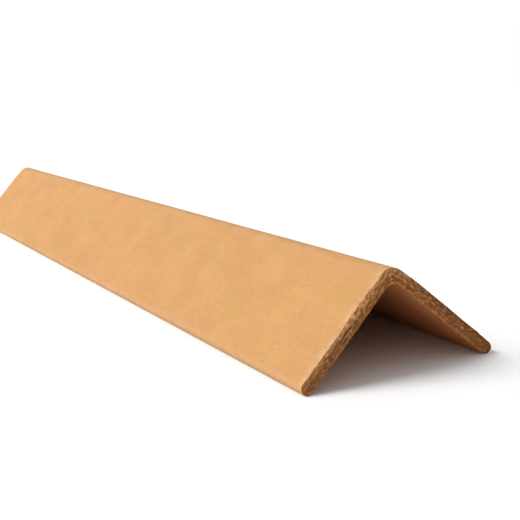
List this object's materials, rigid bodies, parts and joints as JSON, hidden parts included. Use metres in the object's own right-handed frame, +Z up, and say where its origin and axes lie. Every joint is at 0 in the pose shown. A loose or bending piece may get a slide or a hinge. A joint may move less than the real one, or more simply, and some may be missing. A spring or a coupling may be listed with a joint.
{
  "type": "pallet edge protector",
  "caption": "Laminated kraft paperboard angle with a rounded bend and wrapped leg edges, laid over a load's edge so that straps and stretch film don't crush it.",
  "frame": {"origin": "on the surface that the board stands on, under the middle of its length and of its two legs", "axes": "+X along the board towards the end that the picture shows, +Z up through the bend, -Y towards the leg that the picture shows from outside"},
  "size_m": [0.6, 0.0844, 0.0418],
  "materials": {
    "kraft_board": "matte tan kraft liner over brown laminated plies"
  },
  "bodies": {
    "root": {"angle_board": "kraft_board"}
  },
  "joints": []
}
